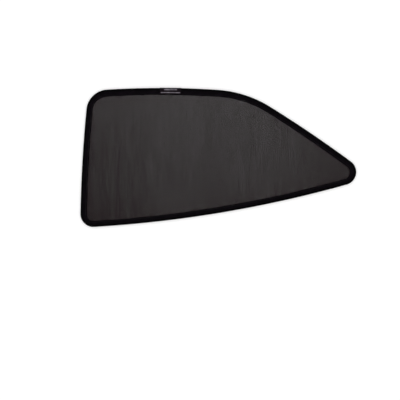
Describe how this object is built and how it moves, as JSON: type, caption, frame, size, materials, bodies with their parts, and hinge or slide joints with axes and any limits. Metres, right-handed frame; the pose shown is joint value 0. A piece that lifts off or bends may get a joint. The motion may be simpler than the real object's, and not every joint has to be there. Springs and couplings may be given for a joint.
{
  "type": "car side window sunshade",
  "caption": "Flat see-through mesh screen for a car's side window, held taut by a wire ring inside a sewn edge tape with hidden bar magnets.",
  "frame": {"origin": "middle of the footprint, on the surface that the shade's back lies on", "axes": "+X from the rear edge to the pointed front tip, +Y from the sill edge to the roof edge, +Z out of the front face, away from the door frame"},
  "size_m": [0.78, 0.3936, 0.0068],
  "materials": {
    "tape": "matt woven polyester",
    "mesh": "knitted polyester mesh",
    "thread": "twisted polyester",
    "label": "woven satin tape",
    "wire": "oiled spring steel",
    "magnet": "nickel plated"
  },
  "bodies": {
    "root": {"wire_ring": "wire", "edge_tape": "tape", "mesh_panel": "mesh", "needle_thread": "thread", "bobbin_thread": "thread", "label": "label", "magnet_top_1": "magnet", "magnet_top_2": "magnet", "magnet_top_3": "magnet", "magnet_slope_1": "magnet", "magnet_slope_2": "magnet", "magnet_sill_1": "magnet", "magnet_sill_2": "magnet", "magnet_sill_3": "magnet", "magnet_rear_1": "magnet", "magnet_rear_2": "magnet"}
  },
  "joints": []
}
